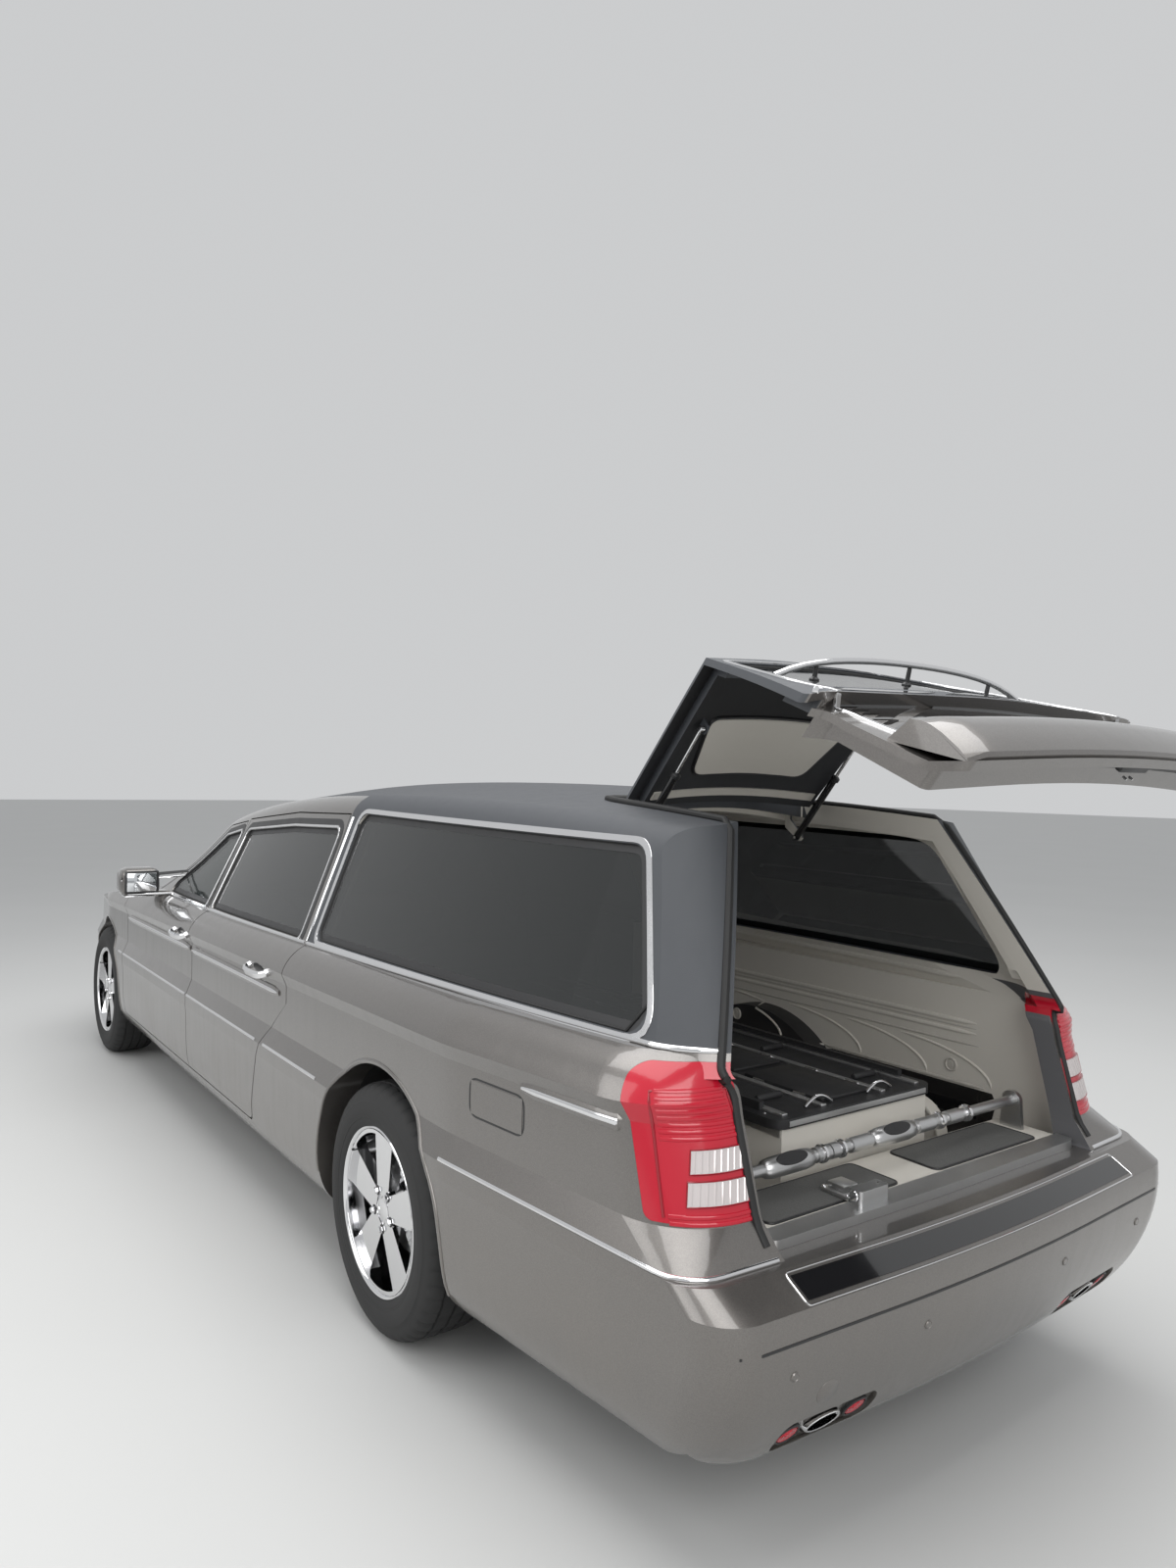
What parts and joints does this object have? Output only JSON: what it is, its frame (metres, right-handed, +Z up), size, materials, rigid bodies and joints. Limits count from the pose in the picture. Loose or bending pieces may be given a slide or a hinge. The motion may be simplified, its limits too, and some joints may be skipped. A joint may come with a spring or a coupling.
{
  "type": "hearse",
  "caption": "Stretched four-door estate car built as a hearse, with a long glazed load space, a sliding bier board and a rear tailgate that lifts on gas struts.",
  "frame": {"origin": "middle of the whole car's box on the ground", "axes": "+X forward along the car, +Y to its left, +Z up"},
  "size_m": [6.3761, 2.09, 1.973],
  "materials": {
    "paint": "metallic gloss",
    "vinyl": "matte grained",
    "chrome": "polished",
    "lamp_glass": "clear",
    "red_lens": "gloss",
    "tinted_glass": "dark tint",
    "clear_glass": "light tint",
    "black_steel": "satin",
    "bright_steel": "satin",
    "knuckle_iron": "rough",
    "floor_steel": "satin",
    "cream_panel": "satin",
    "black_plastic": "satin",
    "threshold_metal": "satin",
    "seat_leather": "grained",
    "tyre_rubber": "matte",
    "rim_metal": "polished"
  },
  "bodies": {
    "car": {"body_side_left": "paint", "body_side_right": "paint", "floor_pan": "floor_steel", "roof": "vinyl", "screen_frame": "paint", "cowl": "paint", "fenders": "paint", "front_bumper": "paint", "rear_bumper": "paint", "grille": "chrome", "headlamps": "lamp_glass", "tail_lamps": "red_lens", "windscreen": "clear_glass", "side_glass": "tinted_glass", "cargo_lining": "cream_panel", "load_deck": "cream_panel", "threshold": "threshold_metal", "dashboard": "black_plastic", "steering_wheel": "black_plastic", "seats": "seat_leather", "engine": "knuckle_iron", "exhaust": "bright_steel", "front_axle": "black_steel", "rear_axle": "black_steel"},
    "hood": {"hood": "paint"},
    "tailgate": {"tailgate": "paint", "tailgate_glass": "tinted_glass"},
    "strut_tubes": {"strut_tubes": "black_steel"},
    "strut_rods": {"strut_rods": "bright_steel"},
    "bier": {"bier": "black_plastic"},
    "door_front_left": {"door_front_left": "paint", "door_glass_front_left": "clear_glass"},
    "door_rear_left": {"door_rear_left": "paint", "door_glass_rear_left": "tinted_glass"},
    "door_front_right": {"door_front_right": "paint", "door_glass_front_right": "clear_glass"},
    "door_rear_right": {"door_rear_right": "paint", "door_glass_rear_right": "tinted_glass"},
    "knuckle_left": {"knuckle_left": "knuckle_iron"},
    "knuckle_right": {"knuckle_right": "knuckle_iron"},
    "wheel_front_left": {"tyre_front_left": "tyre_rubber", "rim_front_left": "rim_metal"},
    "wheel_front_right": {"tyre_front_right": "tyre_rubber", "rim_front_right": "rim_metal"},
    "wheel_rear_left": {"tyre_rear_left": "tyre_rubber", "rim_rear_left": "rim_metal"},
    "wheel_rear_right": {"tyre_rear_right": "tyre_rubber", "rim_rear_right": "rim_metal"}
  },
  "joints": [
    {"name": "door_front_left_hinge", "type": "hinge", "parent": "car", "child": "door_front_left", "pos_m": [1.78708, 0.936, 0.65], "axis": [0, 0, -1], "range_deg": [0, 65]},
    {"name": "door_rear_left_hinge", "type": "hinge", "parent": "car", "child": "door_rear_left", "pos_m": [0.53208, 0.936, 0.65], "axis": [0, 0, -1], "range_deg": [0, 65]},
    {"name": "door_front_right_hinge", "type": "hinge", "parent": "car", "child": "door_front_right", "pos_m": [1.78708, -0.936, 0.65], "axis": [0, 0, 1], "range_deg": [0, 65]},
    {"name": "door_rear_right_hinge", "type": "hinge", "parent": "car", "child": "door_rear_right", "pos_m": [0.53208, -0.936, 0.65], "axis": [0, 0, 1], "range_deg": [0, 65]},
    {"name": "steer_left", "type": "hinge", "parent": "car", "child": "knuckle_left", "pos_m": [2.32208, 0.755, 0.3635], "axis": [0, 0, 1], "range_deg": [-35, 35]},
    {"name": "steer_right", "type": "hinge", "parent": "car", "child": "knuckle_right", "pos_m": [2.32208, -0.755, 0.3635], "axis": [0, 0, 1], "range_deg": [-35, 35]},
    {"name": "wheel_front_left_spin", "type": "hinge", "parent": "knuckle_left", "child": "wheel_front_left", "pos_m": [2.32208, 0.7925, 0.3635], "axis": [0, 1, 0], "continuous": true},
    {"name": "wheel_front_right_spin", "type": "hinge", "parent": "knuckle_right", "child": "wheel_front_right", "pos_m": [2.32208, -0.7925, 0.3635], "axis": [0, 1, 0], "continuous": true},
    {"name": "wheel_rear_left_spin", "type": "hinge", "parent": "car", "child": "wheel_rear_left", "pos_m": [-1.44292, 0.7925, 0.3635], "axis": [0, 1, 0], "continuous": true},
    {"name": "wheel_rear_right_spin", "type": "hinge", "parent": "car", "child": "wheel_rear_right", "pos_m": [-1.44292, -0.7925, 0.3635], "axis": [0, 1, 0], "continuous": true},
    {"name": "hood_hinge", "type": "hinge", "parent": "car", "child": "hood", "pos_m": [1.79908, 0, 1.012], "axis": [0, -1, 0], "range_deg": [0, 45]},
    {"name": "tailgate_hinge", "type": "hinge", "parent": "car", "child": "tailgate", "pos_m": [-1.88792, 0, 1.6], "axis": [0, 1, 0], "range_deg": [-51, 0]},
    {"name": "strut_tube_pivot", "type": "hinge", "parent": "car", "child": "strut_tubes", "pos_m": [-1.91292, 0, 1.46], "axis": [0, 1, 0], "range_deg": [-45.27, 0.5]},
    {"name": "strut_rod_slide", "type": "slide", "parent": "strut_tubes", "child": "strut_rods", "axis": [-0.634, 0, 0.7733], "range_m": [-0.1185, 0.001]},
    {"name": "bier_slide", "type": "slide", "parent": "car", "child": "bier", "axis": [-1, 0, 0], "range_m": [0, 1.15]}
  ],
  "couplings": [
    {"joint": "steer_right", "follows": "steer_left", "ratio": 1},
    {"joint": "strut_tube_pivot", "follows": "tailgate_hinge", "ratio": 0.87781},
    {"joint": "strut_rod_slide", "follows": "tailgate_hinge", "m_per_rad": 0.13092}
  ]
}
